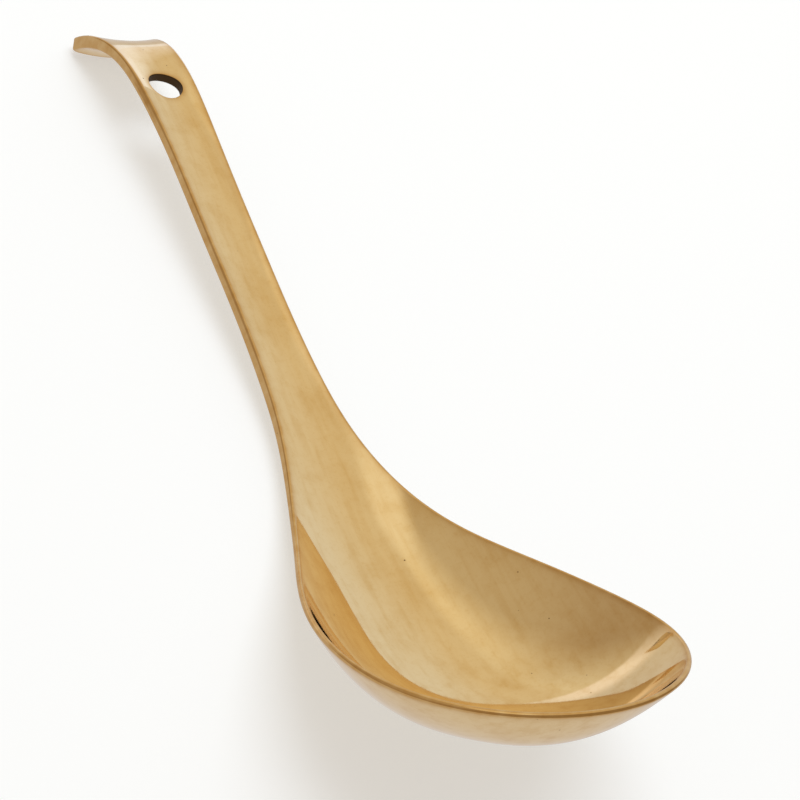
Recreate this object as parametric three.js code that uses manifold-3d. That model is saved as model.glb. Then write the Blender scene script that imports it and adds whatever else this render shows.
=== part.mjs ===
// A serving spoon in one piece of brass: a deep round bowl, a slim handle with a shallow
// channel along its top, and a drilled end that bends down into a short hook.
//
// Millimetres, +Z up. The spoon is symmetric about the plane X = 0, with the bowl's front
// towards -Y and the hook towards +Y. It lies as it rests on a table at Z = 0, on a small
// worn flat under the bowl and on the end of the hook.
//
// The spoon is one sheet of metal. Its top face is described by four smooth functions of
// the length along it from the bowl's front: half the width, the slope of its side line,
// how deep the face sinks below its edges (the dish), and the thickness.

import * as THREE from 'three';
import { mergeVertices } from 'three/addons/utils/BufferGeometryUtils.js';
import Module from 'manifold-3d';

// ---- Driving dimensions: lengths in mm, slopes in degrees, downhill towards the hook ----

const BOWL_LENGTH = 108;      // along the rim, from the bowl's front to the neck
const BOWL_WIDTH = 82.8;
const BOWL_DEPTH = 22.3;      // square to the rim
const BOWL_WALL = 1.45;
const BOWL_FULLNESS = 0.3;    // 0 gives parabolic sections, more gives steeper walls
const RIM_SLOPE = 31.4;

const NECK_WIDTH = 32.4;
const NECK_DISH = 3.9;
const NECK_SLOPE = 5.4;

const HANDLE_LENGTH = 140;    // along the side line, from the neck to the hanging hole
const WAIST_WIDTH = 15.4;
const HANDLE_THICKNESS = 2.75;
const HANDLE_DISH = 1.4;
const HANDLE_SLOPE = -5.6;

const HOLE_DIAMETER = 10;
const HOLE_PLACE_WIDTH = 18;  // the handle's width at the hanging hole
const HOLE_PLACE_SLOPE = 1.3;

const HOOK_LENGTH = 41;       // along the side line, from the hole's centre to the cut end
const HOOK_END_WIDTH = 24.4;
const HOOK_END_THICKNESS = 3.8;
const HOOK_END_SLOPE = 54.4;
const HOOK_CORNER_RADIUS = 2.5;

const EDGE_CHAMFER = 0.3;
const REST_WEAR = 0.2;        // metal worn off under the bowl, which leaves a flat there

// ---- The shape along the spoon ----

const HALF_BOWL = BOWL_WIDTH / 2;
const NECK = BOWL_LENGTH;
const HOLE = NECK + HANDLE_LENGTH;
const END = HOLE + HOOK_LENGTH;

// Each station: place along the spoon, half width, dish, slope.
const STATIONS = [
  [0, 0, 0, RIM_SLOPE],
  [0.07 * BOWL_LENGTH, 0.62 * HALF_BOWL, 0.407 * BOWL_DEPTH, RIM_SLOPE],
  [0.22 * BOWL_LENGTH, 0.95 * HALF_BOWL, 0.808 * BOWL_DEPTH, RIM_SLOPE],
  [0.41 * BOWL_LENGTH, HALF_BOWL, BOWL_DEPTH, RIM_SLOPE],
  [0.60 * BOWL_LENGTH, 0.875 * HALF_BOWL, 0.874 * BOWL_DEPTH, 0.9 * RIM_SLOPE],
  [0.80 * BOWL_LENGTH, 0.623 * HALF_BOWL, 0.507 * BOWL_DEPTH, 0.69 * RIM_SLOPE],
  [NECK, NECK_WIDTH / 2, NECK_DISH, NECK_SLOPE],
  [NECK + 0.26 * HANDLE_LENGTH, 1.1 * WAIST_WIDTH / 2, HANDLE_DISH, HANDLE_SLOPE],
  [NECK + 0.58 * HANDLE_LENGTH, WAIST_WIDTH / 2, HANDLE_DISH, HANDLE_SLOPE],
  [NECK + 0.85 * HANDLE_LENGTH, 1.06 * WAIST_WIDTH / 2, HANDLE_DISH, HANDLE_SLOPE],
  [HOLE, HOLE_PLACE_WIDTH / 2, 1.25 * HANDLE_DISH, HOLE_PLACE_SLOPE],
  [HOLE + 0.5 * HOOK_LENGTH, 0.85 * HOOK_END_WIDTH / 2, 0.5 * HANDLE_DISH, 0.395 * HOOK_END_SLOPE],
  [END, HOOK_END_WIDTH / 2, 1.2 * HANDLE_DISH, HOOK_END_SLOPE],
];

// A natural cubic spline through the points (xs[i], ys[i]), as a function of x.
function smoothThrough(xs, ys) {
  const last = xs.length - 1;
  const bend = new Array(last + 1).fill(0);
  const carry = new Array(last + 1).fill(0);
  for (let i = 1; i < last; i++) {
    const before = xs[i] - xs[i - 1];
    const after = xs[i + 1] - xs[i];
    const pivot = 2 * (before + after) - before * carry[i - 1];
    const turn = (ys[i + 1] - ys[i]) / after - (ys[i] - ys[i - 1]) / before;
    carry[i] = after / pivot;
    bend[i] = (6 * turn - before * bend[i - 1]) / pivot;
  }
  for (let i = last - 1; i > 0; i--) {
    bend[i] -= carry[i] * bend[i + 1];
  }
  return (x) => {
    let i = 0;
    while (i < last - 1 && x > xs[i + 1]) i++;
    const span = xs[i + 1] - xs[i];
    const up = (x - xs[i]) / span;
    const down = 1 - up;
    const sway = ((down ** 3 - down) * bend[i] + (up ** 3 - up) * bend[i + 1]) * span ** 2 / 6;
    return down * ys[i] + up * ys[i + 1] + sway;
  };
}

// 0 before start, 1 after end, and an even ease between them.
function ease(x, start, end) {
  const t = THREE.MathUtils.clamp((x - start) / (end - start), 0, 1);
  return t ** 3 * (t * (6 * t - 15) + 10);
}

const places = STATIONS.map((station) => station[0]);
// The width is drawn through its square, which makes the bowl's front a true round.
const squareHalfWidth = smoothThrough(places, STATIONS.map((station) => station[1] ** 2));
const dish = smoothThrough(places, STATIONS.map((station) => station[2]));
const slopeDegrees = smoothThrough(places, STATIONS.map((station) => station[3]));
const slope = (along) => THREE.MathUtils.degToRad(slopeDegrees(along));

function halfWidth(along) {
  return Math.sqrt(Math.max(squareHalfWidth(along), 0));
}

function thickness(along) {
  const intoHandle = ease(along, 0.7 * NECK, NECK + 0.33 * HANDLE_LENGTH);
  const intoHook = ease(along, HOLE, END);
  return BOWL_WALL
    + (HANDLE_THICKNESS - BOWL_WALL) * intoHandle
    + (HOOK_END_THICKNESS - HANDLE_THICKNESS) * intoHook;
}

// The side line: where the top face's edges lie, seen from the side.
const SIDE_STEP = 0.25;
const sideLine = [new THREE.Vector3()];
for (let along = 0; along < END; along += SIDE_STEP) {
  const heading = slope(along + SIDE_STEP / 2);
  const step = new THREE.Vector3(0, Math.cos(heading), -Math.sin(heading));
  sideLine.push(sideLine.at(-1).clone().addScaledVector(step, SIDE_STEP));
}

function sidePoint(along) {
  const index = Math.min(Math.floor(along / SIDE_STEP), sideLine.length - 2);
  return sideLine[index].clone().lerp(sideLine[index + 1], along / SIDE_STEP - index);
}

// The top face's point at a place along the spoon and a distance x from its middle.
// Sections are parabolas, and the bowl's are fuller than that behind its very front.
const SHORTEST = 0.01;

function fullness(along) {
  const intoBowl = ease(along, 0, 0.35 * BOWL_LENGTH);
  const intoNeck = ease(along, 0.42 * BOWL_LENGTH, 0.8 * BOWL_LENGTH);
  return BOWL_FULLNESS * intoBowl * (1 - intoNeck);
}

function topFace(along, x) {
  const place = THREE.MathUtils.clamp(along, SHORTEST, END);
  const share = (x / halfWidth(place)) ** 2;
  const depth = dish(place) * (1 - share) * (1 + fullness(place) * share);
  const tilt = slope(place);
  const point = sidePoint(THREE.MathUtils.clamp(along, 0, END));
  point.x = x;
  return point.addScaledVector(new THREE.Vector3(0, Math.sin(tilt), Math.cos(tilt)), -depth);
}

function topNormal(along, x) {
  const reach = 0.05;
  const lengthwise = topFace(along + reach, x).sub(topFace(Math.max(along - reach, 0), x));
  const crosswise = topFace(along, x + reach).sub(topFace(along, x - reach));
  return crosswise.cross(lengthwise).normalize();
}

function below(along, x, distance) {
  return topFace(along, x).addScaledVector(topNormal(along, x), -distance);
}

// ---- The sheet as one closed mesh ----

// Places of the rows: close together at the bowl's round front and round the hook.
function rowPlaces() {
  const rows = [];
  const spread = (start, end, count, ramp) => {
    for (let i = 0; i < count; i++) rows.push(start + (end - start) * ramp(i / count));
  };
  spread(0, 0.37 * NECK, 22, (t) => t * t);
  spread(0.37 * NECK, 1.2 * NECK, 26, (t) => t);
  spread(1.2 * NECK, HOLE - 12, 12, (t) => t);
  spread(HOLE - 12, END - HOOK_CORNER_RADIUS, 20, (t) => t);
  spread(END - HOOK_CORNER_RADIUS, END, 6, (t) => Math.sin(Math.PI / 2 * t));
  rows.push(END);
  return rows;
}

// The outline at a row: the edge's place, and the same place moved in by the chamfer.
function outlineAt(along) {
  const cornerStart = END - HOOK_CORNER_RADIUS;
  const intoCorner = THREE.MathUtils.clamp((along - cornerStart) / HOOK_CORNER_RADIUS, 0, 1);
  const cutIn = HOOK_CORNER_RADIUS * (1 - Math.sqrt(1 - intoCorner ** 2));
  const reach = 0.02;
  const rise = (halfWidth(along + reach) - halfWidth(Math.max(along - reach, 0))) / (2 * reach);
  const heading = along === 0 ? Math.PI / 2 : Math.atan(rise) - Math.asin(intoCorner);
  const half = halfWidth(along) - cutIn;
  return {
    along,
    half,
    innerAlong: along + EDGE_CHAMFER * Math.sin(heading),
    innerHalf: Math.max(half - EDGE_CHAMFER * Math.cos(heading), 0),
  };
}

const COLUMNS = 16;

// One closed ring of points round the section: the top face, the right side face,
// the bottom face and the left side face.
function sectionRing(outline, topDrop, bottomDrop) {
  const { along, half, innerAlong, innerHalf } = outline;
  const wall = thickness(along);
  const xs = [];
  for (let i = 0; i <= COLUMNS; i++) {
    xs.push(innerHalf * (2 * i / COLUMNS - 1));
  }
  return [
    ...xs.map((x) => below(innerAlong, x, topDrop)),
    below(along, half, EDGE_CHAMFER),
    below(along, half, wall - EDGE_CHAMFER),
    ...xs.map((x) => below(innerAlong, x, bottomDrop)).reverse(),
    below(along, -half, wall - EDGE_CHAMFER),
    below(along, -half, EDGE_CHAMFER),
  ];
}

// The cut end of the hook: a last ring, moved in by the chamfer on its long sides.
function cutRing() {
  const outline = outlineAt(END);
  outline.innerAlong = END;
  outline.innerHalf = outline.half;
  return sectionRing(outline, EDGE_CHAMFER, thickness(END) - EDGE_CHAMFER);
}

function sheetRings() {
  const rings = rowPlaces().map((along) => {
    return sectionRing(outlineAt(along), 0, thickness(along));
  });
  return [...rings, cutRing()];
}

function sheetGeometry(rings) {
  const size = rings[0].length;
  const positions = rings.flat().flatMap((point) => point.toArray());
  const triangles = [];
  const addQuad = (a, b, c, d) => triangles.push(a, b, c, a, c, d);
  for (let row = 0; row < rings.length - 1; row++) {
    for (let i = 0; i < size; i++) {
      const next = (i + 1) % size;
      const here = row * size;
      addQuad(here + i, here + next, here + size + next, here + size + i);
    }
  }
  const lastRing = (rings.length - 1) * size;
  const bottomStart = COLUMNS + 3;
  for (let i = 0; i < COLUMNS; i++) {
    const under = lastRing + bottomStart + COLUMNS - i;
    addQuad(lastRing + i, lastRing + i + 1, under - 1, under);
  }
  const geometry = new THREE.BufferGeometry();
  geometry.setAttribute('position', new THREE.Float32BufferAttribute(positions, 3));
  geometry.setIndex(triangles);
  return geometry;
}

// ---- Solids ----

const wasm = await Module();
wasm.setup();

function toSolid(geometry) {
  const bare = geometry.clone();
  bare.deleteAttribute('normal');
  bare.deleteAttribute('uv');
  const merged = mergeVertices(bare, 1e-4);
  const index = merged.getIndex().array;
  const kept = [];
  for (let i = 0; i < index.length; i += 3) {
    const [a, b, c] = index.slice(i, i + 3);
    if (a !== b && b !== c && c !== a) kept.push(a, b, c);
  }
  return new wasm.Manifold(new wasm.Mesh({
    numProp: 3,
    vertProperties: new Float32Array(merged.getAttribute('position').array),
    triVerts: new Uint32Array(kept),
  }));
}

function toGeometry(solid) {
  const mesh = solid.getMesh();
  const geometry = new THREE.BufferGeometry();
  geometry.setAttribute('position', new THREE.BufferAttribute(mesh.vertProperties, 3));
  geometry.setIndex(new THREE.BufferAttribute(mesh.triVerts, 1));
  geometry.computeVertexNormals();
  return geometry;
}

// The hanging hole is drilled square to the handle's face.
function holeDrill() {
  const sides = 40;
  const centre = topFace(HOLE, 0);
  const axis = topNormal(HOLE, 0);
  const drill = new THREE.CylinderGeometry(
    HOLE_DIAMETER / 2, HOLE_DIAMETER / 2, 6 * HANDLE_THICKNESS, sides);
  drill.applyQuaternion(new THREE.Quaternion().setFromUnitVectors(
    new THREE.Vector3(0, 1, 0), axis));
  return drill.translate(...centre.toArray());
}

// How the spoon lies: the lowest point under the bowl, and the turn about X that brings the
// hook's lowest point level with the flat that wear leaves under the bowl.
function restingPlace(rings) {
  const points = rings.flat();
  const neck = sidePoint(NECK);
  const hole = sidePoint(HOLE);
  const bowlPoints = points.filter((point) => point.y < neck.y);
  const hookPoints = points.filter((point) => point.y > hole.y);
  let turn = 0;
  let underBowl = null;
  for (let pass = 0; pass < 20; pass++) {
    const height = (point) => point.z * Math.cos(turn) + point.y * Math.sin(turn);
    const lower = (a, b) => (height(b) < height(a) ? b : a);
    underBowl = bowlPoints.reduce(lower);
    const underHook = hookPoints.reduce(lower);
    const gap = height(underHook) - height(underBowl) - REST_WEAR;
    turn -= Math.asin(gap / (underHook.y - underBowl.y));
  }
  return { turn, underBowl };
}

function spoonGeometry() {
  const rings = sheetRings();
  const { turn, underBowl } = restingPlace(rings);
  const lay = new THREE.Matrix4().makeTranslation(0, 0, -REST_WEAR);
  lay.multiply(new THREE.Matrix4().makeRotationX(turn));
  lay.multiply(new THREE.Matrix4().makeTranslation(0, -underBowl.y, -underBowl.z));
  const wear = new THREE.BoxGeometry(2 * BOWL_WIDTH, BOWL_LENGTH, 2 * BOWL_DEPTH);
  wear.translate(0, 0, -BOWL_DEPTH);
  const sheet = toSolid(sheetGeometry(rings).applyMatrix4(lay));
  const drill = toSolid(holeDrill().applyMatrix4(lay));
  const geometry = toGeometry(sheet.subtract(drill).subtract(toSolid(wear)));
  geometry.computeBoundingBox();
  const box = geometry.boundingBox;
  return geometry.translate(0, -(box.min.y + box.max.y) / 2, -box.min.z);
}

// ---- The object ----

const brass = new THREE.MeshStandardMaterial({ color: 0xc79a52, roughness: 0.22, metalness: 1 });
const spoon = new THREE.Mesh(spoonGeometry(), brass);
spoon.name = 'spoon';

const object = new THREE.Group();
object.add(spoon);

export default object;
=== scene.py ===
import math

import bmesh
import bpy
import numpy as np
from mathutils import Matrix, Vector
from mathutils.kdtree import KDTree


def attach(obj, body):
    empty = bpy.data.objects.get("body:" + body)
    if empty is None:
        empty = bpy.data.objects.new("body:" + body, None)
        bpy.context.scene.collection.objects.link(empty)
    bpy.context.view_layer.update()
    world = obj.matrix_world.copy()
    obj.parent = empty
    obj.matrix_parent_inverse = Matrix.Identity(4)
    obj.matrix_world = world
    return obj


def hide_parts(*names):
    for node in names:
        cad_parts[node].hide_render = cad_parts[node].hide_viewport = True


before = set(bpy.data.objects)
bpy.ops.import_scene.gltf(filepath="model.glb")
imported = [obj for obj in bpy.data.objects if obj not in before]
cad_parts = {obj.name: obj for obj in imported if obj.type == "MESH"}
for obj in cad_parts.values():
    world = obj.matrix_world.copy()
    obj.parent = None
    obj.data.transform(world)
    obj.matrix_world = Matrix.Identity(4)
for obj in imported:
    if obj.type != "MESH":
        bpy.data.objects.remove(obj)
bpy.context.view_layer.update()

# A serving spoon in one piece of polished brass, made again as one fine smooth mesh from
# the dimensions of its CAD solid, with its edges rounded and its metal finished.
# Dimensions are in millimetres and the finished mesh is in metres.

# ---- Dimensions, as in the CAD model ----

MM = 0.001

BOWL_LENGTH = 108.0
BOWL_WIDTH = 82.8
BOWL_DEPTH = 22.3
BOWL_WALL = 1.45
BOWL_FULLNESS = 0.3
RIM_SLOPE = 31.4

NECK_WIDTH = 32.4
NECK_DISH = 3.9
NECK_SLOPE = 5.4

HANDLE_LENGTH = 140.0
WAIST_WIDTH = 15.4
HANDLE_THICKNESS = 2.75
HANDLE_DISH = 1.4
HANDLE_SLOPE = -5.6

HOLE_DIAMETER = 10.0
HOLE_PLACE_WIDTH = 18.0
HOLE_PLACE_SLOPE = 1.3

HOOK_LENGTH = 41.0
HOOK_END_WIDTH = 24.4
HOOK_END_THICKNESS = 3.8
HOOK_END_SLOPE = 54.4
HOOK_CORNER_RADIUS = 2.5

REST_WEAR = 0.2

# ---- The finish of the edges ----

EDGE_ROUND = 0.6
HOLE_ROUND = 0.3
WEAR_SOFTNESS = 0.03
WEAR_REACH = 1.0
EDGE_FADE = 0.8

# ---- The shape along the spoon ----

HALF_BOWL = BOWL_WIDTH / 2
NECK = BOWL_LENGTH
HOLE = NECK + HANDLE_LENGTH
END = HOLE + HOOK_LENGTH

# Each station: place along the spoon, half width, dish, slope.
STATIONS = np.array([
    (0, 0, 0, RIM_SLOPE),
    (0.07 * BOWL_LENGTH, 0.62 * HALF_BOWL, 0.407 * BOWL_DEPTH, RIM_SLOPE),
    (0.22 * BOWL_LENGTH, 0.95 * HALF_BOWL, 0.808 * BOWL_DEPTH, RIM_SLOPE),
    (0.41 * BOWL_LENGTH, HALF_BOWL, BOWL_DEPTH, RIM_SLOPE),
    (0.60 * BOWL_LENGTH, 0.875 * HALF_BOWL, 0.874 * BOWL_DEPTH, 0.9 * RIM_SLOPE),
    (0.80 * BOWL_LENGTH, 0.623 * HALF_BOWL, 0.507 * BOWL_DEPTH, 0.69 * RIM_SLOPE),
    (NECK, NECK_WIDTH / 2, NECK_DISH, NECK_SLOPE),
    (NECK + 0.26 * HANDLE_LENGTH, 1.1 * WAIST_WIDTH / 2, HANDLE_DISH, HANDLE_SLOPE),
    (NECK + 0.58 * HANDLE_LENGTH, WAIST_WIDTH / 2, HANDLE_DISH, HANDLE_SLOPE),
    (NECK + 0.85 * HANDLE_LENGTH, 1.06 * WAIST_WIDTH / 2, HANDLE_DISH, HANDLE_SLOPE),
    (HOLE, HOLE_PLACE_WIDTH / 2, 1.25 * HANDLE_DISH, HOLE_PLACE_SLOPE),
    (HOLE + 0.5 * HOOK_LENGTH, 0.85 * HOOK_END_WIDTH / 2, 0.5 * HANDLE_DISH, 0.395 * HOOK_END_SLOPE),
    (END, HOOK_END_WIDTH / 2, 1.2 * HANDLE_DISH, HOOK_END_SLOPE),
])


def smooth_through(xs, ys):
    """A natural cubic spline through the points, as a function of an array."""
    gaps = np.diff(xs)
    system = np.eye(len(xs))
    turns = np.zeros(len(xs))
    for i in range(1, len(xs) - 1):
        system[i, i - 1:i + 2] = gaps[i - 1], 2 * (gaps[i - 1] + gaps[i]), gaps[i]
        turns[i] = 6 * ((ys[i + 1] - ys[i]) / gaps[i] - (ys[i] - ys[i - 1]) / gaps[i - 1])
    bend = np.linalg.solve(system, turns)

    def value(x):
        i = np.clip(np.searchsorted(xs, x) - 1, 0, len(xs) - 2)
        up = (x - xs[i]) / gaps[i]
        down = 1 - up
        sway = ((down ** 3 - down) * bend[i] + (up ** 3 - up) * bend[i + 1]) * gaps[i] ** 2 / 6
        return down * ys[i] + up * ys[i + 1] + sway

    return value


def ease(x, start, end):
    """0 before start, 1 after end, and an even ease between them."""
    t = np.clip((x - start) / (end - start), 0, 1)
    return t ** 3 * (t * (6 * t - 15) + 10)


square_half_width = smooth_through(STATIONS[:, 0], STATIONS[:, 1] ** 2)
dish = smooth_through(STATIONS[:, 0], STATIONS[:, 2])
slope_degrees = smooth_through(STATIONS[:, 0], STATIONS[:, 3])

SIDE_STEP = 0.25
side_places = np.arange(0, END + 2 * SIDE_STEP, SIDE_STEP)
side_headings = np.radians(slope_degrees(side_places[:-1] + SIDE_STEP / 2))
side_y = np.concatenate([[0], np.cumsum(np.cos(side_headings)) * SIDE_STEP])
side_z = -np.concatenate([[0], np.cumsum(np.sin(side_headings)) * SIDE_STEP])


def half_width(along):
    return np.sqrt(np.maximum(square_half_width(along), 0))


def thickness(along):
    into_handle = ease(along, 0.7 * NECK, NECK + 0.33 * HANDLE_LENGTH)
    into_hook = ease(along, HOLE, END)
    return (BOWL_WALL + (HANDLE_THICKNESS - BOWL_WALL) * into_handle
            + (HOOK_END_THICKNESS - HANDLE_THICKNESS) * into_hook)


def fullness(along):
    into_bowl = ease(along, 0, 0.35 * BOWL_LENGTH)
    into_neck = ease(along, 0.42 * BOWL_LENGTH, 0.8 * BOWL_LENGTH)
    return BOWL_FULLNESS * into_bowl * (1 - into_neck)


def top_face(along, x):
    """Points of the top face, at a place along the spoon and a distance x from its middle."""
    along, x = np.broadcast_arrays(np.asarray(along, float), np.asarray(x, float))
    place = np.clip(along, 0.01, END)
    share = x ** 2 / square_half_width(place)
    depth = dish(place) * (1 - share) * (1 + fullness(place) * share)
    tilt = np.radians(slope_degrees(place))
    y = np.interp(along, side_places, side_y) - depth * np.sin(tilt)
    z = np.interp(along, side_places, side_z) - depth * np.cos(tilt)
    return np.stack([x, y, z], -1)


NORMAL_REACH = 0.05


def unit(vectors):
    return vectors / np.linalg.norm(vectors, axis=-1, keepdims=True)


def face_directions(along, x):
    """The directions of the top face along the spoon and across it."""
    lengthwise = (top_face(along + NORMAL_REACH, x)
                  - top_face(np.maximum(along - NORMAL_REACH, 0), x))
    crosswise = top_face(along, x + NORMAL_REACH) - top_face(along, x - NORMAL_REACH)
    return unit(lengthwise), unit(crosswise)


def top_normal(along, x):
    """The direction square to the top face."""
    lengthwise, crosswise = face_directions(along, x)
    return unit(np.cross(crosswise, lengthwise))


# ---- The fine mesh ----

# Quads across the sheet, round a quarter of an edge, and down its side face. The patch round
# the hole reaches HOLE_PATCH millimetres along the handle on either side of it.
COLUMNS = 96
ARC_STEPS = 6
SIDE_STEPS = 4
HOLE_PATCH = 8.0
HOLE_RINGS = 14
HOLE_WALL_STEPS = 8

# Rows of the mesh: the bowl's front ends and the neck ends at these shares of the bowl's
# length, and the steps between rows are in millimetres.
FRONT_SHARE = 0.37
FRONT_ROWS = 110
BOWL_ROW_STEP = 0.7
NECK_END_SHARE = 1.2
HANDLE_ROW_STEP = 1.4
HOLE_ROW_STEP = 0.5
HOOK_ROW_STEP = 0.6
CORNER_ROWS = 12

WELD_DISTANCE = 0.0003


class Skin:
    """Points and quads collected block by block; shared points are welded at the end."""

    def __init__(self):
        self.points = []
        self.faces = []
        self.edges = []
        self.count = 0

    def add(self, block, keep=None, flip=False, edge=False):
        """Adds a grid of points with its quads; keep marks the quads that stay."""
        rows, columns = block.shape[:2]
        if edge:
            self.edges.append(self.count + np.arange(rows * columns))
        numbers = self.count + np.arange(rows * columns).reshape(rows, columns)
        quads = np.stack([numbers[:-1, :-1], numbers[:-1, 1:], numbers[1:, 1:], numbers[1:, :-1]], -1)
        chosen = quads.reshape(-1, 4) if keep is None else quads[keep]
        self.points.append(block.reshape(-1, 3))
        self.faces.append(chosen[:, ::-1] if flip else chosen)
        self.count += rows * columns


def row_places():
    """Close together at the bowl's round front, at the hole and round the hook."""
    def spread(start, end, step):
        return np.linspace(start, end, max(int(round((end - start) / step)), 1), endpoint=False)

    front_end = FRONT_SHARE * NECK
    neck_end = NECK_END_SHARE * NECK
    corner = END - HOOK_CORNER_RADIUS
    return np.concatenate([
        front_end * np.linspace(0, 1, FRONT_ROWS, endpoint=False) ** 2,
        spread(front_end, neck_end, BOWL_ROW_STEP),
        spread(neck_end, HOLE - HOLE_PATCH, HANDLE_ROW_STEP),
        spread(HOLE - HOLE_PATCH, HOLE + HOLE_PATCH, HOLE_ROW_STEP),
        spread(HOLE + HOLE_PATCH, corner, HOOK_ROW_STEP),
        corner + HOOK_CORNER_RADIUS * np.sin(np.linspace(0, math.pi / 2, CORNER_ROWS + 1)),
    ])


def outline():
    """Each row's edge, moved in by the rounding: its place, half width and direction."""
    along = row_places()
    into_corner = np.clip((along - END) / HOOK_CORNER_RADIUS + 1, 0, 1)
    half = half_width(along) - HOOK_CORNER_RADIUS * (1 - np.sqrt(1 - into_corner ** 2))
    mirrored = np.concatenate([-half[:0:-1], half])
    there = np.concatenate([along[:0:-1], along])
    run = np.concatenate([[0], np.cumsum(np.hypot(np.diff(there), np.diff(mirrored)))])
    heading = np.arctan2(np.gradient(mirrored, run), np.gradient(there, run))[len(along) - 1:]
    heading[0] = math.pi / 2
    heading[-1] = -math.pi / 2
    inner_along = along + EDGE_ROUND * np.sin(heading)
    inner_half = np.maximum(half - EDGE_ROUND * np.cos(heading), 0)
    return inner_along, inner_half, heading


def edge_profile(wall):
    """Steps out and down from the top face's border to the bottom face's, one row per wall."""
    quarter = np.linspace(0, math.pi / 2, ARC_STEPS + 1)
    wall = np.asarray(wall)[:, None]
    side = np.linspace(EDGE_ROUND, wall[:, 0] - EDGE_ROUND, SIDE_STEPS + 1, axis=1)[:, 1:-1]
    out = EDGE_ROUND * np.concatenate([np.sin(quarter), np.ones(SIDE_STEPS - 1), np.cos(quarter)])
    down = np.concatenate([
        np.broadcast_to(EDGE_ROUND * (1 - np.cos(quarter)), (len(wall), ARC_STEPS + 1)),
        side,
        wall - EDGE_ROUND * (1 - np.sin(quarter)),
    ], axis=1)
    return out[None], down


def rounded_edge(base, normal, outward, wall):
    out, down = edge_profile(wall)
    return (base[:, None] + out[..., None] * outward[:, None]
            - down[..., None] * normal[:, None])


def sheet_skin():
    skin = Skin()
    along, half, heading = outline()
    xs = half[:, None] * np.linspace(-1, 1, COLUMNS + 1)[None]
    places = np.broadcast_to(along[:, None], xs.shape)
    top = top_face(places, xs)
    normal = top_normal(places, xs)
    wall = thickness(along)
    bottom = top - normal * wall[:, None, None]

    in_patch = np.abs(along - HOLE) < HOLE_PATCH + 0.1
    first, last = np.flatnonzero(in_patch)[[0, -1]]
    keep = np.ones((len(along) - 1, COLUMNS), bool)
    keep[first:last] = False
    skin.add(top, keep)
    skin.add(bottom, keep, flip=True)

    # The long edges, with the direction out of the sheet square to the outline.
    base, up = top[:, -1], normal[:, -1]
    forward, sideways = face_directions(along, half)
    tangent = unit(np.cos(heading)[:, None] * forward + np.sin(heading)[:, None] * sideways)
    outward = unit(np.cross(tangent, up))
    right = rounded_edge(base, up, outward, wall)
    mirror = np.array([-1.0, 1.0, 1.0])
    skin.add(right, edge=True)
    skin.add(right * mirror, flip=True, edge=True)

    # The cut end of the hook, which meets the long edges in their own last rows.
    end_normal = normal[-1]
    end_outward = unit(np.cross(np.array([-1.0, 0, 0]), end_normal))
    end = rounded_edge(top[-1], end_normal, end_outward, np.full(COLUMNS + 1, wall[-1]))
    end[-1] = right[-1]
    end[0] = right[-1] * mirror
    skin.add(end, flip=True, edge=True)

    add_hole(skin, along[first:last + 1], xs[first:last + 1])
    return skin


def add_hole(skin, along, xs):
    """The stretch of the handle round the hanging hole: rays from the hole to a frame of rows."""
    rows, columns = xs.shape
    frame_rows = np.concatenate([
        np.zeros(columns - 1, int), np.arange(rows - 1),
        np.full(columns - 1, rows - 1), np.arange(rows - 1, 0, -1), [0]])
    frame_columns = np.concatenate([
        np.arange(columns - 1), np.full(rows - 1, columns - 1),
        np.arange(columns - 1, 0, -1), np.zeros(rows - 1, int), [0]])
    rim_along = along[frame_rows]
    rim_x = xs[frame_rows, frame_columns]
    angle = np.arctan2(rim_x, rim_along - HOLE)
    centre = top_face(HOLE, 0.0)
    axis = top_normal(np.array(HOLE), np.array(0.0))
    radius = HOLE_DIAMETER / 2

    def face(a, x, under):
        return top_face(a, x) - under * thickness(a)[..., None] * top_normal(a, x)

    def from_axis(points):
        offset = points - centre
        return offset - (offset @ axis)[..., None] * axis

    shares = np.linspace(0, 1, HOLE_RINGS + 1)[:, None] ** 1.3
    lips = []
    for under in (0, 1):
        reach = np.full(angle.shape, radius + HOLE_ROUND)
        for _ in range(4):
            ring = face(HOLE + reach * np.cos(angle), reach * np.sin(angle), under)
            reach *= (radius + HOLE_ROUND) / np.linalg.norm(from_axis(ring), axis=-1)
        a = (HOLE + reach * np.cos(angle)) * (1 - shares) + rim_along * shares
        x = reach * np.sin(angle) * (1 - shares) + rim_x * shares
        block = face(a, x, under)
        skin.add(block, flip=(under == 0))
        lips.append(block[0])

    quarter = np.linspace(0, math.pi / 2, ARC_STEPS + 1)[:, None, None]
    inward = [-unit(from_axis(lip)) for lip in lips]
    upper = lips[0] + HOLE_ROUND * (np.sin(quarter) * inward[0] - (1 - np.cos(quarter)) * axis)
    lower = lips[1] + HOLE_ROUND * (np.sin(quarter) * inward[1] + (1 - np.cos(quarter)) * axis)
    steps = np.linspace(0, 1, HOLE_WALL_STEPS + 1)[1:-1, None, None]
    wall = upper[-1] * (1 - steps) + lower[-1] * steps
    skin.add(np.concatenate([upper, wall, lower[::-1]]), edge=True)


TURN_PASSES = 20


def resting_place(points):
    """The turn about X that levels the hook's lowest point with the flat under the bowl."""
    neck_y = np.interp(NECK, side_places, side_y)
    hole_y = np.interp(HOLE, side_places, side_y)
    bowl = points[points[:, 1] < neck_y]
    hook = points[points[:, 1] > hole_y]
    turn = 0.0
    for _ in range(TURN_PASSES):
        bowl_heights = bowl[:, 2] * math.cos(turn) + bowl[:, 1] * math.sin(turn)
        hook_heights = hook[:, 2] * math.cos(turn) + hook[:, 1] * math.sin(turn)
        under_bowl = bowl[np.argmin(bowl_heights)]
        under_hook = hook[np.argmin(hook_heights)]
        gap = hook_heights.min() - bowl_heights.min() - REST_WEAR
        turn -= math.asin(gap / (under_hook[1] - under_bowl[1]))
    return turn, under_bowl


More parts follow.
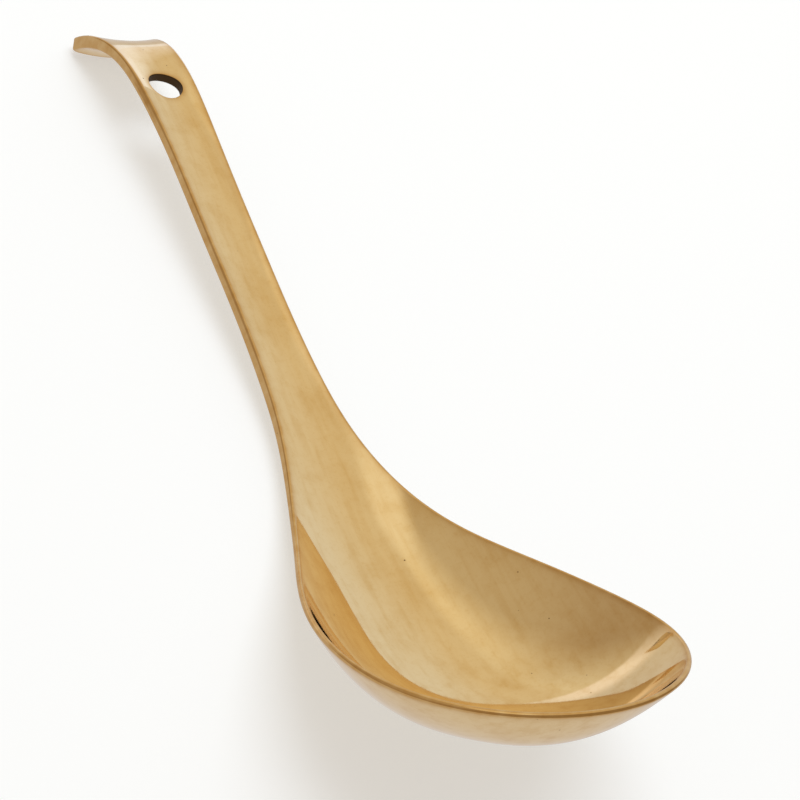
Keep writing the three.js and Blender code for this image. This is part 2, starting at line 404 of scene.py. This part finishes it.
def lay_down(points):
    """Lays the spoon as it rests, centred over the origin, with the flat worn under its bowl."""
    turn, under_bowl = resting_place(points)
    spin = np.array(Matrix.Rotation(turn, 3, "X"))
    laid = (points - (0, under_bowl[1], under_bowl[2])) @ spin.T
    laid[:, 2] -= REST_WEAR
    laid[:, 1] -= (laid[:, 1].min() + laid[:, 1].max()) / 2
    return laid


def wear_flat(points):
    """Presses what is below the table up to it, with a soft border."""
    height = points[:, 2]
    pressed = (height + np.hypot(height, WEAR_SOFTNESS)) / 2
    points[:, 2] = np.where(height < WEAR_REACH, pressed, height)
    return points


def mark_edges(mesh, edge_points):
    """Stores how near each vertex is to an edge: 1 on it, fading over EDGE_FADE."""
    tree = KDTree(len(edge_points))
    for i, point in enumerate(edge_points):
        tree.insert(point, i)
    tree.balance()
    nearness = mesh.attributes.new("edge_nearness", "FLOAT", "POINT")
    for vertex, stored in zip(mesh.vertices, nearness.data):
        stored.value = math.exp(-tree.find(vertex.co)[2] / (EDGE_FADE * MM))


def make_spoon():
    """The fine mesh of the spoon, with the middle and the direction of its hole."""
    skin = sheet_skin()
    middle = top_face(HOLE, 0.0)
    axis_point = middle + top_normal(np.array(HOLE), np.array(0.0))
    laid = lay_down(np.concatenate([*skin.points, [middle, axis_point]]))
    hole_centre = laid[-2] * MM
    hole_axis = laid[-1] - laid[-2]
    points = wear_flat(laid[:-2]) * MM
    faces = np.concatenate(skin.faces)
    mesh = bpy.data.meshes.new("spoon_metal")
    mesh.from_pydata(points.tolist(), [], faces.tolist())
    work = bmesh.new()
    work.from_mesh(mesh)
    bmesh.ops.remove_doubles(work, verts=work.verts, dist=WELD_DISTANCE * MM)
    bmesh.ops.dissolve_degenerate(work, edges=work.edges, dist=WELD_DISTANCE / 3 * MM)
    loose = [vert for vert in work.verts if not vert.link_faces]
    bmesh.ops.delete(work, geom=loose, context="VERTS")
    bmesh.ops.recalc_face_normals(work, faces=work.faces)
    work.to_mesh(mesh)
    work.free()
    mesh.polygons.foreach_set("use_smooth", np.ones(len(mesh.polygons), bool))
    mark_edges(mesh, points[np.concatenate(skin.edges)])
    piece = bpy.data.objects.new("spoon_metal", mesh)
    bpy.context.scene.collection.objects.link(piece)
    return piece, hole_centre, hole_axis


# ---- Node building ----

class Net:
    """Adds nodes to a tree, one short call each, and links or sets their inputs."""

    def __init__(self, tree):
        self.tree = tree

    def link(self, source, socket):
        self.tree.links.new(source, socket)

    def fill(self, socket, value):
        if isinstance(value, bpy.types.NodeSocket):
            self.link(value, socket)
        elif isinstance(value, tuple) and socket.type == "RGBA":
            socket.default_value = (*value[:3], 1)
        else:
            socket.default_value = value

    def add(self, kind, settings=None, **inputs):
        node = self.tree.nodes.new("ShaderNode" + kind)
        for name, value in (settings or {}).items():
            setattr(node, name, value)
        for name, value in inputs.items():
            self.fill(node.inputs[name.replace("_", " ")], value)
        return node

    def maths(self, operation, first, second=0.0, third=0.0):
        node = self.add("Math", {"operation": operation})
        for socket, value in zip(node.inputs, (first, second, third)):
            self.fill(socket, value)
        return node.outputs[0]

    def vector(self, operation, first, second=None):
        node = self.add("VectorMath", {"operation": operation})
        self.fill(node.inputs[0], first)
        if second is not None:
            self.fill(node.inputs[1], second)
        return node

    def remap(self, value, source, target, smooth=False):
        kind = "SMOOTHSTEP" if smooth else "LINEAR"
        node = self.add("MapRange", {"interpolation_type": kind})
        for socket, given in zip(node.inputs, (value, *source, *target)):
            self.fill(socket, given)
        return node.outputs[0]

    def ramp(self, value, stops):
        node = self.add("ValToRGB", Fac=value)
        elements = node.color_ramp.elements
        while len(elements) < len(stops):
            elements.new(0.5)
        for element, (place, colour) in zip(elements, stops):
            element.position = place
            element.color = (*colour, 1)
        return node.outputs["Color"]

    def noise(self, place, scale, detail=2):
        return self.add("TexNoise", Vector=place, Scale=scale, Detail=detail).outputs[0]

    def mix(self, share, first, second):
        node = self.add("Mix", {"data_type": "RGBA"})
        self.fill(node.inputs[0], share)
        self.fill(node.inputs[6], first)
        self.fill(node.inputs[7], second)
        return node.outputs[2]


# ---- The brass ----

CLEAN_BRASS = (0.88, 0.69, 0.38)
STAINED_BRASS = (0.73, 0.49, 0.19)
# The darker brass laid on the rounded edges is painted shade.
EDGE_SHADE_BRASS = (0.60, 0.34, 0.10)
PIT = (0.20, 0.11, 0.05)
# The near-black laid on the wall of the hanging hole is painted shade in the hole.
HOLE_SHADE = (0.045, 0.028, 0.018)

# Tarnish in layers, from wide clouds and long polishing streaks to blotches and fine specks:
# noise scales along X, Y and Z, detail, the noise values it grows between, and its share.
TARNISH = [
    ((55, 55, 55), 4, (0.46, 0.74), 0.36),
    ((420, 26, 420), 4, (0.42, 0.76), 0.36),
    ((260, 260, 260), 3, (0.44, 0.74), 0.22),
    ((1100, 1100, 1100), 2, (0.5, 0.75), 0.16),
]

# Hair-fine lines: turn in degrees, noise scale across and along them, and how many show.
POLISHING_LINES = [(4, 3600, 45, 0.42), (-38, 4200, 60, 0.38)]

# Pits: cell size in metres, share of the cells that have one, and its radius in metres.
PITS = [(0.009, 0.30, 0.00030), (0.0037, 0.09, 0.00022)]

# Roughness of the clean metal, and how much each flaw, and each patch of painted shade, colours it
# and adds to its roughness.
CLEAN_ROUGHNESS = 0.03
STAIN_COVER, STAIN_ROUGHNESS = 1.0, 0.08
LINE_COVER, LINE_ROUGHNESS = 0.22, 0.08
EDGE_COVER, EDGE_ROUGHNESS = 0.85, 0.06
PIT_COVER, PIT_ROUGHNESS = 0.8, 0.35
HOLE_SHADE_COVER, HOLE_SHADE_ROUGHNESS = 0.93, 0.45

# Relief in metres: the waviness of hand finishing, and the depth of lines and pits.
WAVE_SCALE = 42
WAVE_HEIGHT = 0.00005
LINE_DEPTH = 0.0000012
PIT_DEPTH = 0.00001


def brass_lines(net, place, turn, across, along, amount):
    """Hair-fine polishing lines: noise drawn out along the spoon and turned on its surface."""
    mapped = net.add("Mapping", Vector=place, Rotation=(0, 0, math.radians(turn)),
                     Scale=(across, along, across)).outputs[0]
    grain = net.noise(mapped, 1, detail=2)
    return net.remap(grain, (1 - amount, 1), (0, 1))


def brass_pits(net, place, cell, share, size):
    """Small round pits: the middles of a few cells out of many."""
    cells = net.add("TexVoronoi", Vector=place, Scale=1 / cell)
    chance = net.add("SeparateXYZ", Vector=cells.outputs["Color"]).outputs[0]
    chosen = net.maths("LESS_THAN", chance, share)
    near = net.remap(cells.outputs["Distance"], (0.6 * size / cell, size / cell), (1, 0), smooth=True)
    return net.maths("MULTIPLY", chosen, near)


def hole_wall(net, place, centre, axis):
    """1 on the wall of the hanging hole, where near-black painted shade goes, and 0 from just outside
    it.
    """
    offset = net.vector("SUBTRACT", place, centre).outputs["Vector"]
    across = net.vector("CROSS_PRODUCT", offset, axis).outputs["Vector"]
    reach = net.vector("LENGTH", across).outputs["Value"]
    radius = HOLE_DIAMETER / 2 * MM
    edge = HOLE_ROUND * MM
    return net.remap(reach, (radius + 0.1 * edge, radius + 0.6 * edge), (1, 0), smooth=True)


def brass_stain(net, place):
    """How tarnished the metal is, from all layers together."""
    stain = 0.0
    for scales, detail, between, share in TARNISH:
        drawn = net.add("Mapping", Vector=place, Scale=scales).outputs[0]
        layer = net.remap(net.noise(drawn, 1, detail), between, (0, 1), smooth=True)
        stain = net.maths("MULTIPLY_ADD", layer, share, stain)
    return stain


def painted_edge_shade(net, place):
    """Painted shade along the rounded edges: 1 on them, fading inwards and broken up by noise."""
    nearness = net.add("Attribute", {"attribute_name": "edge_nearness"}).outputs["Fac"]
    unevenness = net.remap(net.noise(place, 300, detail=3), (0.3, 0.7), (0.55, 1))
    return net.maths("MULTIPLY", nearness, unevenness)


def make_brass(hole_centre, hole_axis):
    """Polished brass with its flaws, and painted shade on its edges and in its hole, laid over one
    another.
    """
    material = bpy.data.materials.new("polished_brass")
    material.use_nodes = True
    net = Net(material.node_tree)
    shader = material.node_tree.nodes["Principled BSDF"]
    place = net.add("TexCoord").outputs["Object"]

    lines = net.maths("MAXIMUM", *[brass_lines(net, place, *line) for line in POLISHING_LINES])
    pits = net.maths("MAXIMUM", *[brass_pits(net, place, *pit) for pit in PITS])
    flaws_and_painted_shade = [
        (brass_stain(net, place), STAINED_BRASS, STAIN_COVER, STAIN_ROUGHNESS),
        (lines, STAINED_BRASS, LINE_COVER, LINE_ROUGHNESS),
        # The rounded edges get darker brass: painted shade.
        (painted_edge_shade(net, place), EDGE_SHADE_BRASS, EDGE_COVER, EDGE_ROUGHNESS),
        (pits, PIT, PIT_COVER, PIT_ROUGHNESS),
        # The hole's wall gets near-black: painted shade.
        (hole_wall(net, place, hole_centre, hole_axis), HOLE_SHADE, HOLE_SHADE_COVER, HOLE_SHADE_ROUGHNESS),
    ]
    colour = CLEAN_BRASS
    roughness = CLEAN_ROUGHNESS
    for amount, tone, cover, added_roughness in flaws_and_painted_shade:
        colour = net.mix(net.maths("MULTIPLY", amount, cover), colour, tone)
        roughness = net.maths("MULTIPLY_ADD", amount, added_roughness, roughness)
    net.link(colour, shader.inputs["Base Color"])
    net.link(roughness, shader.inputs["Roughness"])
    shader.inputs["Metallic"].default_value = 1.0

    relief = net.maths("MULTIPLY", net.noise(place, WAVE_SCALE, detail=1), WAVE_HEIGHT)
    relief = net.maths("MULTIPLY_ADD", lines, -LINE_DEPTH, relief)
    relief = net.maths("MULTIPLY_ADD", pits, -PIT_DEPTH, relief)
    bump = net.add("Bump", Strength=1.0, Distance=1.0, Height=relief)
    net.link(bump.outputs[0], shader.inputs["Normal"])
    return material


# ---- Floor, light and camera ----

FLOOR_REACH = 6.0
FLOOR_COLOUR = (0.60, 0.645, 0.71)
FLOOR_GLOW = (0.95, 0.97, 0.98)
FLOOR_GLOW_STRENGTH = 0.48


def make_floor():
    """A plain white floor. The brass mirrors the studio's ground tones in its place."""
    mesh = bpy.data.meshes.new("floor")
    corners = [(x * FLOOR_REACH, y * FLOOR_REACH, 0) for x, y in ((-1, -1), (1, -1), (1, 1), (-1, 1))]
    mesh.from_pydata(corners, [], [(0, 1, 2, 3)])
    floor = bpy.data.objects.new("floor", mesh)
    bpy.context.scene.collection.objects.link(floor)
    material = bpy.data.materials.new("pale_floor")
    material.use_nodes = True
    shader = material.node_tree.nodes["Principled BSDF"]
    shader.inputs["Base Color"].default_value = (*FLOOR_COLOUR, 1)
    shader.inputs["Roughness"].default_value = 0.8
    shader.inputs["Emission Color"].default_value = (*FLOOR_GLOW, 1)
    shader.inputs["Emission Strength"].default_value = FLOOR_GLOW_STRENGTH
    floor.data.materials.append(material)
    floor.visible_glossy = False


# The studio's tones: a warm room with cooler light from low down on its far side.
BEHIND = (0.37, 0.28, 0.18)
SIDE = (0.45, 0.355, 0.26)
COOL = (0.77, 0.75, 0.74)
WARM = (0.75, 0.65, 0.50)
GLOW = (0.80, 0.73, 0.61)
WINDOW = (0.87, 0.77, 0.60)
SHADE = (0.58, 0.49, 0.37)
CEILING = (0.92, 0.84, 0.71)
GLARE = (0.96, 0.90, 0.93)
GROUND = (0.67, 0.62, 0.59)

# Its walls by compass direction, in degrees from +X towards +Y: dim behind the camera, and pale
# on the far side with a brighter stretch that ends in shade. Low walls pass into high walls
# between two heights, and a round ceiling light hangs over them. Below the horizon lies the far
# ground, which passes into the near ground's one tone.
LOW_WALLS = [(-180, SIDE), (-90, BEHIND), (2, BEHIND), (18, COOL), (50, COOL), (66, WARM),
             (74, WARM), (79, GLOW), (112, SIDE), (180, SIDE)]
HIGH_WALLS = [(-180, SIDE), (-90, BEHIND), (0, BEHIND), (18, WARM), (75, WARM), (84, WINDOW),
              (92, WINDOW), (122, SHADE), (160, SHADE), (180, SIDE)]
HIGH_WALL_FROM, HIGH_WALL_TO = 15, 58
FAR_GROUND = [(-180, SIDE), (-90, BEHIND), (2, BEHIND), (18, COOL), (62, COOL), (74, GLARE),
              (92, GLARE), (112, SIDE), (180, SIDE)]
NEAR_GROUND_FROM, NEAR_GROUND_TO = -4, -10
HORIZON_FROM, HORIZON_TO = 1, -0.5
CEILING_AZIMUTH, CEILING_HEIGHT = 92, 78
CEILING_INNER, CEILING_OUTER = 8, 17

# A soft box over the floor, and a small card beyond the hook that lights its crest alone.
FLOOR_LIGHT_PLACE = (0.2, 0.3, 1.6)
FLOOR_LIGHT_SIZE = (1.4, 1.4)
FLOOR_LIGHT_RADIANCE = 2.1
FLOOR_LIGHT_COLOUR = (0.92, 0.97, 1.0)
HOOK_CARD_PLACE = (0.084, 0.232, 0.055)
HOOK_CARD_TARGET = (0, 0.14, 0.05)
HOOK_CARD_SIZE = (0.065, 0.11)
HOOK_CARD_SPREAD = 54
HOOK_CARD_RADIANCE = 0.075
HOOK_CARD_COLOUR = (0.42, 0.57, 1.0)


def radians(first, second):
    return math.radians(first), math.radians(second)


def direction(azimuth, height):
    """The unit vector towards a compass direction and a height above the horizon."""
    azimuth, height = radians(azimuth, height)
    level = math.cos(height)
    return (math.cos(azimuth) * level, math.sin(azimuth) * level, math.sin(height))


def make_light():
    """A plain soft studio: a world with pale walls under a brighter ceiling, and two lamps."""
    world = bpy.data.worlds.new("studio")
    bpy.context.scene.world = world
    world.use_nodes = True
    net = Net(world.node_tree)
    way = net.add("TexCoord").outputs["Generated"]
    east, north, up = net.add("SeparateXYZ", Vector=way).outputs
    compass = net.maths("ARCTAN2", north, east)
    height = net.maths("ARCSINE", up)

    share = net.remap(compass, (-math.pi, math.pi), (0, 1))
    low, high, far_ground = [
        net.ramp(share, [((angle + 180) / 360, colour) for angle, colour in tones])
        for tones in (LOW_WALLS, HIGH_WALLS, FAR_GROUND)]
    rise = net.remap(height, radians(HIGH_WALL_FROM, HIGH_WALL_TO), (0, 1))
    below = net.remap(height, radians(HORIZON_FROM, HORIZON_TO), (0, 1))
    near = net.remap(height, radians(NEAR_GROUND_FROM, NEAR_GROUND_TO), (0, 1), smooth=True)
    middle = net.vector("DOT_PRODUCT", way, direction(CEILING_AZIMUTH, CEILING_HEIGHT))
    reach = net.maths("ARCCOSINE", middle.outputs["Value"])
    lid = net.remap(reach, radians(CEILING_OUTER, CEILING_INNER), (0, 1), smooth=True)
    shade = net.mix(rise, low, high)
    for amount, tone in ((lid, CEILING), (below, far_ground), (near, GROUND)):
        shade = net.mix(amount, shade, tone)
    net.link(shade, world.node_tree.nodes["Background"].inputs["Color"])

    floor_light = soft_box("floor_light", FLOOR_LIGHT_PLACE, (0, 0, 0), FLOOR_LIGHT_SIZE,
                           FLOOR_LIGHT_RADIANCE, FLOOR_LIGHT_COLOUR)
    floor_light.visible_glossy = False
    hook_card = soft_box("hook_card", HOOK_CARD_PLACE, HOOK_CARD_TARGET, HOOK_CARD_SIZE,
                         HOOK_CARD_RADIANCE, HOOK_CARD_COLOUR)
    hook_card.visible_diffuse = False
    hook_card.data.spread = math.radians(HOOK_CARD_SPREAD)


def soft_box(name, place, target, size, radiance, colour):
    """A lit rectangle of even brightness that faces its target and that the camera doesn't see."""
    light = bpy.data.lights.new(name, "AREA")
    light.shape = "RECTANGLE"
    light.size, light.size_y = size
    light.energy = radiance * math.pi * size[0] * size[1]
    light.color = colour
    lamp = bpy.data.objects.new(name, light)
    bpy.context.scene.collection.objects.link(lamp)
    away = Vector(place) - Vector(target)
    lamp.matrix_world = Matrix.LocRotScale(Vector(place), away.to_track_quat("Z", "Y"), None)
    lamp.visible_camera = False
    return lamp


# The camera's place in metres, the way it looks and its roll in degrees, its lens in mm.
CAMERA_PLACE = Vector((-0.2536, -0.2703, 0.3270))
CAMERA_AZIMUTH = -47.63
CAMERA_ELEVATION = 39.87
CAMERA_ROLL = 31.01
CAMERA_LENS = 84.70
SENSOR_WIDTH = 36


def make_camera():
    """The camera that looks down into the bowl from its front left."""
    data = bpy.data.cameras.new("camera")
    data.lens = CAMERA_LENS
    data.sensor_width = SENSOR_WIDTH
    data.clip_start = 0.01
    camera = bpy.data.objects.new("camera", data)
    bpy.context.scene.collection.objects.link(camera)
    bpy.context.scene.camera = camera
    azimuth = math.radians(CAMERA_AZIMUTH)
    elevation = math.radians(CAMERA_ELEVATION)
    back = Vector((math.sin(azimuth) * math.cos(elevation),
                   -math.cos(azimuth) * math.cos(elevation),
                   math.sin(elevation)))
    level = Matrix.LocRotScale(CAMERA_PLACE, back.to_track_quat("Z", "Y"), None)
    camera.matrix_world = level @ Matrix.Rotation(math.radians(CAMERA_ROLL), 4, "Z")


bpy.context.scene.view_settings.view_transform = "Standard"

make_camera()
make_light()
make_floor()

spoon, hole_centre, hole_axis = make_spoon()
spoon.data.materials.append(make_brass(hole_centre, hole_axis))
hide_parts("spoon")
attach(spoon, "root")
